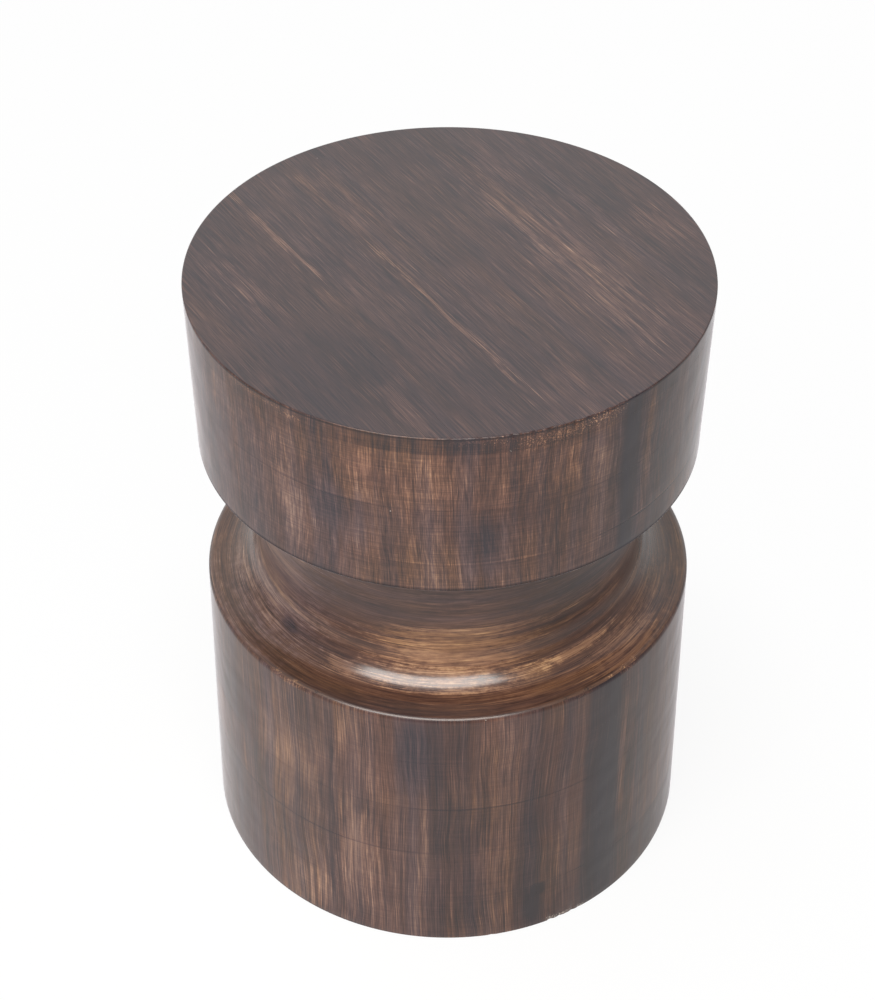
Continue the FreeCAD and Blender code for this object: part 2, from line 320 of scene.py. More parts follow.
def stainedWood(name, look, strokePlace, spread, patchPlace=None, edgeParts=None):
    # the brushed finish: strokePlace and patchPlace turn a position into the place that the strokes and the
    # patches use, spread sets a look's patches out there, and edgeParts adds what goes by height
    material, tree, shader, position = newMaterial(name)
    strokes = brushed(tree, strokePlace(tree, position), look)
    dabPlace = vector(tree, "MULTIPLY", position, look["dabShape"])
    dabs = noise(tree, dabPlace, look["dabScale"], *anyFinish["dabNoise"])
    blotches = noise(tree, position, anyFinish["blotchScale"])
    fray = weigh(tree, 0.0, (strokes["Strokes"], 0.5, look["fray"]), (strokes["Hairs"], 0.5, look["fray"]),
                 (dabs, 0.5, anyFinish["dabFray"]))
    fineness = anyFinish["crumbFineness"]
    crumbs = useGroup(tree, crumblyEdge, {"Position": position, "Fineness": fineness})["Fray"]
    place = patchPlace(tree, position) if patchPlace else position
    shifts = addPatches(tree, place, fray, spread(look["patches"]))
    worn = addPatches(tree, place, crumbs, spread(look["worn"]))
    chips = addPatches(tree, place, crumbs, spread(look["chips"]))
    greyed = addPatches(tree, place, fray, spread(look["greyed"]))
    seams = useGroup(tree, courseSeams, {"Position": position, "Pitch": courseHeight})["Line"]
    blockTone = put(tree, "ShaderNodeAttribute", {}, attribute_name="blockTone").outputs["Fac"]
    parts = [(strokes["Hairs"], 0.5, look["hairs"]), (strokes["Strokes"], 0.5, look["strokes"]),
             (strokes["Bands"], 0.5, look["bands"]), (dabs, 0.5, look["dabs"]),
             (blotches, 0.5, look["blotches"]), (strokes["Glints"], 0.0, -look["glints"]),
             (seams, 0.0, look["seams"]), (shifts, 0.0, 1.0), (worn, 0.0, 1.0),
             (blockTone, 0.0, look["blockTone"])]
    edges = edgeParts(tree, position) if edgeParts else []
    cover = weigh(tree, look["cover"], *parts, *((mask, 0.0, change) for mask, change, matt, shine in edges))
    golden = noise(tree, position, anyFinish["goldScale"])
    gold = remap(tree, golden, *anyFinish["goldRange"], *look["gold"])
    ash = weigh(tree, look["ash"], (strokes["Tints"], 0.5, look["ashSpread"]), (greyed, 0.0, 1.0))
    colour = useGroup(tree, stainColour, {"Cover": cover, "Gold": gold, "Ash": ash})["Color"]
    speck = useGroup(tree, paleSpecks, {"Position": position, "Density": look["specks"]})["Speck"]
    pale = calc(tree, "MAXIMUM", calc(tree, "MULTIPLY", speck, anyFinish["speckCover"]), chips)
    rough = weigh(tree, look["roughness"], (cover, anyFinish["usualCover"], anyFinish["coverMatt"]),
                  (strokes["Hairs"], 0.5, anyFinish["hairMatt"]),
                  *((mask, 0.0, matt) for mask, change, matt, shine in edges))
    polished = [(mask, 0.0, shine) for mask, change, matt, shine in edges if shine]
    ripples = noise(tree, position, look["rippleScale"], 1.0)
    swell = put(tree, "ShaderNodeBump", {"Distance": look["ripple"], "Height": ripples})
    bump = put(tree, "ShaderNodeBump", {"Strength": look["bump"], "Distance": anyFinish["hairDepth"],
                                        "Height": strokes["Hairs"], "Normal": swell.outputs["Normal"]})
    feed(tree, shader, {
        "Base Color": mixColour(tree, pale, colour, anyFinish["paleWood"]), "Roughness": rough,
        "Normal": bump.outputs["Normal"], "IOR": look["ior"],
        "Coat Weight": weigh(tree, look["coat"], *polished), "Coat Roughness": look["coatRoughness"],
        "Sheen Weight": look["haze"], "Sheen Roughness": anyFinish["hazeRoughness"],
        "Sheen Tint": anyFinish["hazeTint"]})
    return material


drumFinish = {
    "cover": 0.665, "hairs": 1.5, "strokes": 0.65, "bands": 0.5, "dabs": 0.45, "blotches": 0.3, "glints": 0.1,
    "seams": 0.06, "levelMarks": 0.27, "backColumns": 0.9, "blockTone": 0.5,
    "squeeze": (1.0, 1.0, 0.03), "lengthen": (1.0, 1.0, 0.4), "sway": (17 * mm, 17 * mm, 0.0),
    "wander": (0.0, 0.0, 0.0), "dabShape": (1.0, 1.0, 0.35), "dabScale": 40.0, "fray": 1.0,
    "shorter": 2.6, "moreMarks": 1.9,      # the upper drum's strokes are shorter, its level marks stronger
    "gold": (0.0, 0.6), "ash": 0.3, "ashSpread": 2.5, "specks": 30.0, "roughness": 0.36, "bump": 0.12,
    "ripple": 0.6 * mm, "rippleScale": 40.0, "ior": 1.45, "coat": 0.0, "coatRoughness": 0.22, "haze": 0.68,
    "markShape": (0.05, 0.05, 1.0), "markNoise": (800.0, 3.0, 0.6),
    "columnShape": (1.0, 1.0, 0.12), "columnScale": 26.0, "columnFade": (0.0, 80 * mm),
    # where the darkening of the edges fades, with its change of cover and of roughness: depths below the top
    # for the boards' edge and the line under its arris, and heights for the shoulder (painted shade) and foot
    "boardEdge": (15 * mm, 13 * mm), "boardEdgeStain": (0.07, 0.0),
    "lineFoot": (2.6 * mm, 1.8 * mm), "lineHead": (0.7 * mm, 1.1 * mm), "lineDarkMatt": (0.25, 0.2),
    # the shoulder's darker cover is painted shade under the upper drum's edge, and its roughness makes it
    # matt
    "shoulder": (378.5 * mm, 375.5 * mm), "shoulderShadeAndMatt": (0.3, 0.4),
    "foot": (2.5 * mm, 0.5 * mm), "footDarkMatt": (0.2, 0.3),
    # azimuth and height of the middle, half width and half height in mm, the change of cover, and the
    # heights of the seams that cut it off
    "patches": [
        (-95, 478, 120, 50, -0.03, 450, 500), (-90, 388, 70, 20, 0.06, 374, 400), (-75, 425, 45, 32, 0.05),
        (-106, 476, 12, 34, -0.05, 450, 500), (-92, 482, 14, 30, -0.04, 450, 500),
        (-68, 480, 16, 18, -0.08), (-114, 446, 25, 24, 0.17, 400, 450), (-122, 420, 10, 30, -0.1),
        (-82, 420, 13, 24, 0.14), (-91, 392, 24, 13, -0.08), (-49, 445, 8, 110, 0.31),
        # (-44, 440, ...) and (-42, 130, ...) below: darker stain and painted shade on the right, away from
        # the light
        (-44, 440, 42, 120, 0.15), (-63, 507, 46, 9, 0.03), (-92, 507, 60, 9, 0.08), (-95, 420, 60, 26, 0.03),
        (-42, 130, 46, 190, 0.2), (-97, 195, 23, 52, 0.16), (-68, 120, 22, 180, 0.06),
        (-52, 460, 10, 50, 0.08), (-112, 105, 18, 50, -0.14), (-128, 70, 30, 90, -0.06),
        (-97, 222, 26, 20, 0.06), (-111, 484, 22, 11, -0.08), (-89, 479, 20, 18, -0.06),
        (-64, 486, 10, 16, -0.08), (-96, 428, 8, 24, -0.05),
        (-127, 440, 8, 22, -0.07), (-101, 408, 12, 16, 0.07), (-95, 386, 40, 7, 0.03),
        (-36, 400, 56, 0.9, 0.7), (-36, 401.5, 50, 0.8, -0.2), (-88, 401, 70, 0.8, -0.1),
        (-120, 450, 85, 0.9, 0.12), (-72, 150, 105, 0.9, 0.14), (-129, 100, 120, 0.9, 0.16),
        (-37, 50, 70, 0.9, 0.16), (-85, 1, 60, 1.5, -0.2),
        (-162, 175, 60, 70, 0.1, 150, 200), (-162, 125, 60, 70, -0.07, 100, 150),
        (-162, 75, 60, 70, 0.07, 50, 100), (-162, 25, 60, 70, 0.1, 0, 50),
        (-22, 75, 50, 70, -0.07, 50, 100), (-22, 25, 50, 70, 0.08, 0, 50),
        (-146, 120, 18, 170, 0.1), (-132, 150, 34, 130, -0.04),
        (-135, 198, 18, 60, -0.06), (-112, 130, 16, 150, -0.14), (-122, 176, 18, 34, -0.06),
        (-117, 120, 5, 170, 0.16), (-98, 205, 9, 40, 0.06), (-95, 130, 3, 38, -0.2),
        (-88.5, 120, 18, 180, 0.1), (-78.5, 120, 15, 170, -0.12), (-71, 70, 11, 75, 0.16),
        (-51, 130, 19, 190, 0.26), (-44.5, 150, 5, 75, -0.36), (-122, 22, 18, 26, -0.2),
        (-67.5, 44, 5, 7, 0.35), (-69, 25, 7, 18, 0.16),
        (-57, 150, 3, 120, -0.15), (-62, 100, 4, 90, -0.12), (-39, 150, 4, 90, -0.15),
        (-34, 90, 5, 80, -0.12), (-56, 450, 4, 60, -0.1), (-43.5, 470, 3, 44, -0.18),
        (-38, 420, 4, 60, -0.08), (-31, 450, 5, 60, -0.06),
    ],
    # the same for edges worn to bare crumbs, for pale chips, and for places that are greyed
    "worn": [
        (-67, 507.5, 48, 9, -0.42), (-56, 509.5, 20, 5, -0.34), (-84, 511, 26, 4, -0.3),
        (-70, 501, 22, 9, -0.12), (-133, 509.5, 45, 3, -0.28), (-124, 506, 8, 4, -0.32),
        (-44, 243, 16, 3, -0.4), (-57, 242.5, 14, 2.5, 0.35), (-128, 243, 24, 3, -0.3),
    ],
    "chips": [
        (-64, 2.5, 6, 3, 0.8), (-60, 2.5, 8, 2.5, 0.8), (-55.5, 2, 7, 2.5, 0.7), (-120.5, 131, 1.5, 1.2, 0.5),
        (-77.5, 500, 1.2, 1.2, 0.5), (-74, 441, 1.2, 1.2, 0.5),
    ],
    "greyed": [
        (-49, 445, 14, 120, 0.5), (-114, 440, 28, 30, 0.5), (-82, 415, 16, 30, 0.5), (-97, 205, 14, 40, 0.5),
        (-51, 130, 18, 190, 0.3), (-140, 130, 70, 190, 0.12), (-40, 440, 40, 120, 0.2),
        (-145, 430, 70, 90, 0.35), (-95, 478, 100, 35, -0.3), (-65, 505, 45, 12, -0.4),
    ],
}


def upperDrum(tree, position):
    # 1 on the upper drum and 0 on the lower one
    return calc(tree, "GREATER_THAN", heightOf(tree, position), 0.5 * tableTop)


def onUpperDrum(tree, position, factor):
    # 1 on the lower drum, and the factor on the upper one
    return weigh(tree, 1.0, (upperDrum(tree, position), 0.0, factor - 1.0))


def drumPlace(tree, position):
    # the strokes sway sideways and stay on one cylinder, so that they run on unbroken
    flat = vector(tree, "MULTIPLY", sway(tree, position, drumFinish["sway"]), (1.0, 1.0, 0.0))
    around = vector(tree, "MULTIPLY", vector(tree, "NORMALIZE", flat), (drumRadius,) * 3)
    shorter = onUpperDrum(tree, position, drumFinish["shorter"])
    rise = calc(tree, "MULTIPLY", heightOf(tree, position), shorter)
    return vector(tree, "ADD", around, combine(tree, 0.0, 0.0, rise))


def drumPatches(rows):
    return [(onDrum(azimuth, height * mm), (wide * mm, wide * mm, tall * mm), strength,
             *(seam * mm for seam in seams))
            for azimuth, height, wide, tall, strength, *seams in rows]


def drumEdges(tree, position):
    # level brush marks, uneven columns round the back, the boards' edge that took more stain, the dark line
    # under its arris, the dark matt shoulder, whose darkening is painted shade under the upper drum's edge,
    # and the dark matt foot; each mask comes with its change of cover, of roughness and of the clear coat
    look = drumFinish
    height = heightOf(tree, position)
    depth = calc(tree, "SUBTRACT", tableTop, height)
    level = vector(tree, "MULTIPLY", position, look["markShape"])
    uneven = calc(tree, "SUBTRACT", noise(tree, level, *look["markNoise"]), 0.5)
    marks = calc(tree, "MULTIPLY", uneven, onUpperDrum(tree, position, look["moreMarks"]))
    upright = vector(tree, "MULTIPLY", position, look["columnShape"])
    patchy = calc(tree, "SUBTRACT", noise(tree, upright, look["columnScale"]), 0.5)
    behind = remap(tree, vector(tree, "DOT_PRODUCT", position, (0.0, 1.0, 0.0)), *look["columnFade"])
    columns = calc(tree, "MULTIPLY", patchy, behind)
    band = remap(tree, depth, *look["boardEdge"])
    line = calc(tree, "MULTIPLY", remap(tree, depth, *look["lineFoot"]),
                remap(tree, depth, *look["lineHead"]))
    # painted shade on the round under the upper drum's edge
    shoulder = calc(tree, "MULTIPLY", remap(tree, height, *look["shoulder"]), upperDrum(tree, position))
    foot = remap(tree, height, *look["foot"])
    return [(marks, look["levelMarks"], 0.0, 0.0), (columns, look["backColumns"], 0.0, 0.0),
            (band, *look["boardEdgeStain"], 0.0), (line, *look["lineDarkMatt"], 0.0),
            (shoulder, *look["shoulderShadeAndMatt"], 0.0), (foot, *look["footDarkMatt"], 0.0)]


def makeDrumWood():
    return stainedWood("drumWood", drumFinish, drumPlace, drumPatches, edgeParts=drumEdges)


waistFinish = {
    "cover": 0.6, "hairs": 1.2, "strokes": 0.7, "bands": 0.5, "dabs": 0.3, "blotches": 0.35, "glints": 0.25,
    "seams": 0.2, "blockTone": 0.0, "squeeze": (1.0, 1.0, 1.0), "lengthen": (0.5, 0.5, 1.0),
    "wander": (0.0, 0.0, 4 * mm), "dabShape": (1.0, 1.0, 2.2), "dabScale": 150.0, "fray": 1.0,
    "gold": (0.4, 1.0), "ash": 0.1, "ashSpread": 1.5, "specks": 24.0, "roughness": 0.18, "bump": 0.05,
    "ripple": 0.1 * mm, "rippleScale": 60.0, "ior": 1.5, "coat": 0.0, "coatRoughness": 0.18, "haze": 0.0,
    "strokeTurn": 8 * mm,            # how far a radian of turn reaches in the strokes' own place
    # heights where the matt neck and ledge and the cove's rubbed foot fade, and their changes
    "neck": (256 * mm, 276 * mm), "neckMatt": 0.22, "ledge": (247.2 * mm, 246.2 * mm), "ledgeMatt": 0.18,
    "rubbed": (264 * mm, 256 * mm), "shine": 0.5,
    # azimuth, height and radius of the middle, half width and half height in mm, the change of cover, and the
    # heights of the seams that cut it off
    "patches": [
        (-88, 280, 147, 62, 34, -0.25, 249, 298.5),
        # (-45, 300, ...): darker stain and painted shade on the neck's right, away from the light
        # (-95, 256, ...) lightens the cove's foot as a painted highlight, warming the softbox's reflection
        (-95, 256, 160, 48, 7, -0.17), (-45, 300, 147, 70, 50, 0.17), (-92, 330, 147, 150, 27, 0.1),
        (-120, 312, 147, 48, 20, 0.14), (-128, 275, 147, 50, 26, 0.08),
        (-67, 255, 157, 24, 4, -0.3), (-52, 255.5, 157, 34, 3, -0.42), (-28, 254, 158, 35, 2.5, -0.06),
        # (-155, 285, 147, ...) lightens the left of the neck as a painted reflection of the bright left side
        (-120, 253, 158, 14, 4, -0.25), (-155, 285, 147, 60, 40, -0.18), (-20, 280, 147, 50, 40, -0.1),
        (-150, 246, 184, 26, 6, 0.08), (-140, 257, 156, 9, 4, 0.25), (-42, 263, 152, 40, 5, 0.06),
        (-38, 248, 176, 38, 4, -0.22), (-105, 246, 184, 50, 3, 0.1),
        (-40, 275, 150, 45, 2, -0.14), (-35, 292, 147, 50, 2.5, -0.12), (-52, 268, 149, 40, 1.5, 0.15),
        (-30, 263, 152, 50, 2, -0.14), (-60, 286, 147, 30, 3, 0.12), (-48, 281, 147, 40, 2, -0.12),
        (60, 280, 147, 58, 34, -0.2, 249, 298.5), (150, 325, 147, 70, 30, 0.12),
        (110, 255, 158, 60, 3, -0.22), (30, 256, 160, 40, 3, -0.2),
    ],
    "worn": [
        (-49, 244, 188, 5, 4, -0.5), (-45, 244, 188, 5, 4, -0.5), (-41, 244, 188, 5, 4, -0.45),
        (-62, 244, 188, 5, 4, 0.4), (-56, 244, 188, 6, 4, 0.4), (-133, 244, 188, 6, 4, -0.35),
        (-127, 244, 188, 6, 4, -0.35), (-121, 244, 188, 6, 4, 0.35),
    ],
    "chips": [],
    # (-155, 285, 150, ...) greys the left of the neck: painted reflection of the bright left side
    "greyed": [(-155, 285, 150, 70, 50, 0.8), (-28, 313, 147, 70, 24, 0.5), (-92, 318, 147, 90, 18, 0.3)],
}


def waistPlace(tree, position):
    # the profile's length goes across the strokes, and the turn along them
    height = heightOf(tree, position)
    flat = vector(tree, "MULTIPLY", position, (1.0, 1.0, 0.0))
    radius = vector(tree, "LENGTH", flat)
    rise = calc(tree, "SUBTRACT", height, 0.5 * (turned["ledgeHeight"] + turned["shoulderHeight"]))
    profile = calc(tree, "ADD", calc(tree, "ABSOLUTE", rise), radius)
    across = combine(tree, 0.0, calc(tree, "SIGN", rise), profile)
    turn = vector(tree, "MULTIPLY", vector(tree, "NORMALIZE", flat), (waistFinish["strokeTurn"],) * 3)
    return vector(tree, "ADD", across, turn)


def waistPatches(rows):
    return [(onDrum(azimuth, height * mm, radius * mm), (wide * mm, wide * mm, tall * mm), strength,
             *(seam * mm for seam in seams))
            for azimuth, height, radius, wide, tall, strength, *seams in rows]


def waistEdges(tree, position):
    # the neck and the ledge are matter than the cove's foot, which is rubbed to a shine
    look = waistFinish
    height = heightOf(tree, position)
    neck = remap(tree, height, *look["neck"])
    ledge = remap(tree, height, *look["ledge"])
    rubbed = remap(tree, height, *look["rubbed"])
    return [(neck, 0.0, look["neckMatt"], 0.0), (ledge, 0.0, look["ledgeMatt"], 0.0),
            (rubbed, 0.0, 0.0, look["shine"])]


def makeWaistWood():
    return stainedWood("waistWood", waistFinish, waistPlace, waistPatches, edgeParts=waistEdges)


topFinish = {
    "cover": 0.79, "hairs": 1.8, "strokes": 0.5, "bands": 0.4, "dabs": 0.2, "blotches": 0.25, "glints": 0.25,
    "seams": 0.0, "blockTone": 0.3, "squeeze": (1.0, 1.0, 0.034), "lengthen": (1.0, 1.0, 0.5),
    "wander": (3 * mm, 0.0, 0.0), "dabShape": (1.0, 1.0, 1.0), "dabScale": 34.0, "fray": 3.0,
    "gold": (0.2, 0.8), "ash": 0.72, "ashSpread": 1.0, "specks": 20.0, "roughness": 0.38, "bump": 0.08,
    "ripple": 0.3 * mm, "rippleScale": 20.0, "ior": 1.45, "coat": 0.5, "coatRoughness": 0.3, "haze": 0.0,
    "strokeTurn": -57,              # degrees, the boards and the brush run this way
    # across and along the strokes from the middle, half width and half length in mm, and the change of cover
    "patches": [
        (-84, -97, 2.4, 60, -0.3), (-31, 44, 3, 75, -0.27), (84, 0, 26, 110, -0.06), (74, -30, 4, 60, -0.2),
        (86, -12, 4, 80, -0.16), (95, 30, 5, 70, -0.14), (73, 80, 8, 70, -0.12),
        (162, 42, 7, 32, -0.18), (-134, -64, 10, 38, -0.12), (-111, 77, 45, 70, 0.1),
        (-20, -70, 16, 70, -0.1), (130, -30, 6, 60, -0.12), (-70, 20, 18, 90, -0.07),
        (-114, 117, 8, 34, -0.16),
    ],
    "worn": [],
    "chips": [],
    "greyed": [],
}


def topPlace(tree, position):
    turn = math.radians(topFinish["strokeTurn"])
    across = vector(tree, "DOT_PRODUCT", position, (-math.sin(turn), math.cos(turn), 0.0))
    along = vector(tree, "DOT_PRODUCT", position, (math.cos(turn), math.sin(turn), 0.0))
    return combine(tree, across, 0.0, along)


def topPatches(rows):
    return [((across * mm, 0.0, along * mm), (wide * mm, 1.0, long * mm), strength)
            for across, along, wide, long, strength in rows]


def makeTopWood():
    return stainedWood("topWood", topFinish, topPlace, topPatches, patchPlace=topPlace)


bareFinish = {
    "squeeze": (1.0, 1.0, 0.08), "lengthen": (1.0, 1.0, 0.5), "wander": (12 * mm, 12 * mm, 0.0),
    "cover": 0.16, "strokes": 0.35, "bands": 0.5, "gold": 0.7, "roughness": 0.75,
}


def makeBareWood():
    # glue faces, the bore and the underside: the sawn wood with no stain
    material, tree, shader, position = newMaterial("bareWood")
    strokes = brushed(tree, position, bareFinish)
    grain = weigh(tree, bareFinish["cover"], (strokes["Strokes"], 0.5, bareFinish["strokes"]),
                  (strokes["Bands"], 0.5, bareFinish["bands"]))
    colour = useGroup(tree, stainColour, {"Cover": grain, "Gold": bareFinish["gold"], "Ash": 0.0})["Color"]
    feed(tree, shader, {"Base Color": colour, "Roughness": bareFinish["roughness"]})
    return material


plywoodFinish = {
    "grainShape": (1.0, 0.07, 1.0), "figure": (90.0, 4.0, 0.6), "figureRange": (0.3, 0.7),
    "pores": (700.0, 2.0), "poreRange": (0.6, 0.72), "poreCover": 0.4, "dark": (0.52, 0.36, 0.2, 1.0),
    "light": (0.72, 0.55, 0.35, 1.0), "poreColour": (0.3, 0.19, 0.1, 1.0), "roughness": (0.55, 0.75),
}


def makePlywood():
    look = plywoodFinish
    material, tree, shader, position = newMaterial("birchPlywood")
    lengthwise = vector(tree, "MULTIPLY", position, look["grainShape"])
    figure = noise(tree, lengthwise, *look["figure"])
    pores = remap(tree, noise(tree, lengthwise, *look["pores"]), *look["poreRange"])
    colour = mixColour(tree, figure, look["dark"], look["light"])
    colour = mixColour(tree, calc(tree, "MULTIPLY", pores, look["poreCover"]), colour, look["poreColour"])
    rough = remap(tree, figure, *look["figureRange"], *look["roughness"])
    feed(tree, shader, {"Base Color": colour, "Roughness": rough})
    return material


dowelFinish = {
    "grainShape": (1.0, 1.0, 0.12), "flecks": (900.0, 3.0), "dark": (0.5, 0.33, 0.18, 1.0),
    "light": (0.68, 0.5, 0.32, 1.0), "roughness": 0.7,
}


def makeDowelWood():
    look = dowelFinish
    material, tree, shader, position = newMaterial("beechDowel")
    flecks = noise(tree, vector(tree, "MULTIPLY", position, look["grainShape"]), *look["flecks"])
    colour = mixColour(tree, flecks, look["dark"], look["light"])
    feed(tree, shader, {"Base Color": colour, "Roughness": look["roughness"]})
    return material


screwFinish = {
    "haze": (1500.0, 3.0), "hazeRange": (0.3, 0.7), "dark": (0.42, 0.4, 0.36, 1.0),
    "light": (0.72, 0.7, 0.64, 1.0), "roughness": (0.22, 0.45),
}


def makeScrewSteel():
    look = screwFinish
    material, tree, shader, position = newMaterial("zincPlate")
    haze = noise(tree, position, *look["haze"])
    colour = mixColour(tree, haze, look["dark"], look["light"])
    rough = remap(tree, haze, *look["hazeRange"], *look["roughness"])
    feed(tree, shader, {"Base Color": colour, "Roughness": rough, "Metallic": 1.0})
    return material


woods = {"drum": makeDrumWood(), "waist": makeWaistWood(), "top": makeTopWood(), "bare": makeBareWood()}
print("wood finishes mixed")


# The turned body

def arcPoints(centre, radius, fromAngle, toAngle, steps):
    points = []
    for step in range(steps + 1):
        angle = math.radians(fromAngle + (toAngle - fromAngle) * step / steps)
        points.append((centre[0] + radius * math.cos(angle), centre[1] + radius * math.sin(angle)))
    return points


def straightPoints(start, end):
    count = max(1, round(math.dist(start, end) / turned["rowSpacing"]))
    return [(start[0] + (end[0] - start[0]) * step / count, start[1] + (end[1] - start[1]) * step / count)
            for step in range(1, count)]


def lathedOutline():
    waist = drumRadius - turned["waistTaper"]
    foot, rim = turned["footRound"], turned["rimRound"]
    cove, shoulder = turned["coveRadius"], turned["shoulderRound"]
    ledge, underside = turned["ledgeHeight"], turned["shoulderHeight"]
    coveAxis = waist - rim - turned["ledgeFlat"]
    stretches = [
        arcPoints((drumRadius - foot, foot), foot, -90, 0, turned["footSteps"]),
        arcPoints((waist - rim, ledge - rim), rim, 0, 90, turned["rimSteps"]),
        arcPoints((coveAxis, ledge + cove), cove, -90, -180, turned["coveSteps"]),
        arcPoints((coveAxis, underside - cove), cove, 180, 90, turned["coveSteps"]),
        arcPoints((waist - shoulder, underside + shoulder), shoulder, -90, 0, turned["shoulderSteps"]),
        [(drumRadius, tableTop - turned["topArris"])],
    ]
    outline = stretches[0]
    for stretch in stretches[1:]:
        outline = outline + straightPoints(outline[-1], stretch[0]) + stretch
    return outline


def betweenHeights(outline, foot, head):
    near = 1e-6
    kept = []
    for start, end in zip(outline, outline[1:]):
        if foot - near <= start[1] <= head + near:
            kept.append(start)
        for height in (foot, head):
            if start[1] < height - near and end[1] > height + near:
                share = (height - start[1]) / (end[1] - start[1])
                kept.append((start[0] + share * (end[0] - start[0]), height))
    return kept


courseBlocks = {
    "bore": 131.5 * mm,              # also in the neck, where the CAD's hidden core is narrower
    "rebateRadius": 151.5 * mm,
    "rebateDepth": 12 * mm,
    "blocks": 4,
    "firstJoint": 20,                # degrees, where the first course's blocks meet
    "stagger": 45,
    "turnSteps": 180,
    "mergeReach": 1e-7,
    "jointBevel": 0.06 * mm,
    "bevelAngle": 35,
    "waistOverlap": 0.3,             # share of the rim and of the shoulder's round with the waist's finish
    "jointFacing": 0.2,              # limits of the normal that tell joints, bore and glue faces
    "boreFacing": -0.3,
    "glueFacing": 0.99,
    "glueReach": 0.1 * mm,
    "frontTone": 0.05,               # how far the blocks differ in tone
    "backTone": 0.14,
    "backFrom": 0.4,                 # sine of the azimuth from which a block counts as at the back
    "toneTurns": (2.4, 4.1, 1.0),    # radians by course, by block, and to start with
    "courses": ["lower_drum_ring_1", "lower_drum_ring_2", "lower_drum_ring_3", "lower_drum_ring_4",
                "ledge_ring", "lower_neck_ring", "upper_neck_ring", "shoulder_ring",
                "upper_drum_ring_1", "upper_drum_ring_2"],
}


def selectNothing():
    bpy.ops.object.select_all(action="DESELECT")


def makeActive(piece):
    selectNothing()
    piece.select_set(True)
    bpy.context.view_layer.objects.active = piece


def ownCopy(pattern, name):
    # a piece with a mesh of its own
    piece = pattern.copy()
    piece.data = pattern.data.copy()
    piece.name = name
    bpy.context.collection.objects.link(piece)
    makeActive(piece)
    return piece


def drawSection(name, points):
    # one corner, drawn out along the section and closed as a face
    selectNothing()
    bpy.ops.mesh.primitive_plane_add(size=mm, location=(points[0][0], 0, points[0][1]))
    piece = bpy.context.object
    piece.name = name
    bpy.ops.object.transform_apply(location=True)
    bpy.ops.object.mode_set(mode="EDIT")
    bpy.ops.mesh.merge(type="CENTER")
    for start, end in zip(points, points[1:]):
        step = (end[0] - start[0], 0, end[1] - start[1])
        bpy.ops.mesh.extrude_vertices_move(TRANSFORM_OT_translate={"value": step})
    bpy.ops.mesh.select_all(action="SELECT")
    bpy.ops.mesh.edge_face_add()
    return piece


def bevelJoints(piece, width, angle):
    makeActive(piece)
    bpy.ops.object.modifier_add(type="BEVEL")
    bevel = piece.modifiers[-1]
    bevel.width = width
    bevel.segments = 2
    bevel.limit_method = "ANGLE"
    bevel.angle_limit = math.radians(angle)
    bpy.ops.object.modifier_apply(modifier=bevel.name)


def courseSection(foot, head):
    points = betweenHeights(lathedOutline(), foot, head)
    bore = courseBlocks["bore"]
    points.append((bore, head))
    if foot < courseBlocks["rebateDepth"]:
        points.append((bore, courseBlocks["rebateDepth"]))
        points.append((courseBlocks["rebateRadius"], courseBlocks["rebateDepth"]))
        bore = courseBlocks["rebateRadius"]
    points.append((bore, foot))
    return points


def turnBlock(name, foot, head):
    piece = drawSection(name, courseSection(foot, head))
    quarter = 2 * math.pi / courseBlocks["blocks"]
    bpy.ops.mesh.spin(steps=courseBlocks["turnSteps"], angle=-quarter, center=(0, 0, 0), axis=(0, 0, 1))
    bpy.ops.mesh.select_all(action="SELECT")
    bpy.ops.mesh.remove_doubles(threshold=courseBlocks["mergeReach"])
    bpy.ops.mesh.normals_make_consistent(inside=False)
    bpy.ops.object.mode_set(mode="OBJECT")
    bevelJoints(piece, courseBlocks["jointBevel"], courseBlocks["bevelAngle"])
    return piece


def paintBlock(piece, foot, head):
    # stain on what shows, bare wood on the glue faces and in the bore
    for name in ("drum", "waist", "bare"):
        piece.data.materials.append(woods[name])
    waistFoot = turned["ledgeHeight"] - courseBlocks["waistOverlap"] * turned["rimRound"]
    waistHead = turned["shoulderHeight"] + courseBlocks["waistOverlap"] * turned["shoulderRound"]
    aside = courseBlocks["jointFacing"]
    for face in piece.data.polygons:
        outwards = face.normal.dot(Vector((face.center.x, face.center.y, 0)).normalized())
        toEnd = min(face.center.z - foot, head - face.center.z)
        sideways = abs(outwards) < aside and abs(face.normal.z) < aside
        inwards = outwards < courseBlocks["boreFacing"]
        glued = abs(face.normal.z) > courseBlocks["glueFacing"] and toEnd < courseBlocks["glueReach"]
        if sideways or inwards or glued:
            face.material_index = 2
        elif waistFoot < face.center.z < waistHead:
            face.material_index = 1


def storeTone(piece, tone):
    values = piece.data.attributes.new("blockTone", "FLOAT", "POINT")
    values.data.foreach_set("value", [tone] * len(piece.data.vertices))


edgeWear = {
    # azimuth, then how deep and how wide in mm
    "rimDents": [(-90, 0.4, 4), (-83, 0.5, 3), (-77, 1.0, 3.5), (-73, 0.7, 2.5), (-69, 0.5, 4), (-64, 0.8, 3),
                 (-60, 0.6, 2.5), (-56, 0.9, 3), (-53, 0.6, 2.5)],
    "footDents": [(-64, 1.2, 3.5), (-61.5, 0.9, 3), (-58, 1.0, 3), (-56, 0.6, 2.5), (-79, 0.6, 3)],
    "roughStretch": (-95, -48),      # degrees, where the top's rim is rough to the touch
    "roughWidth": 1.2 * mm,
    "roughHeight": 10 * mm,
    "roughness": 0.16 * mm,
    "roughSeed": 4,
    "dentReach": 3 * mm,             # how near the edge a piece has to be to get a dent
    "dentPick": 0.2 * mm,
}


def selectVertices(piece, wanted):
    makeActive(piece)
    bpy.ops.object.mode_set(mode="EDIT")
    bpy.ops.mesh.select_mode(type="VERT")
    bpy.ops.mesh.select_all(action="DESELECT")
    bpy.ops.object.mode_set(mode="OBJECT")
    for vertex in piece.data.vertices:
        vertex.select = wanted(vertex.co)
    bpy.ops.object.mode_set(mode="EDIT")


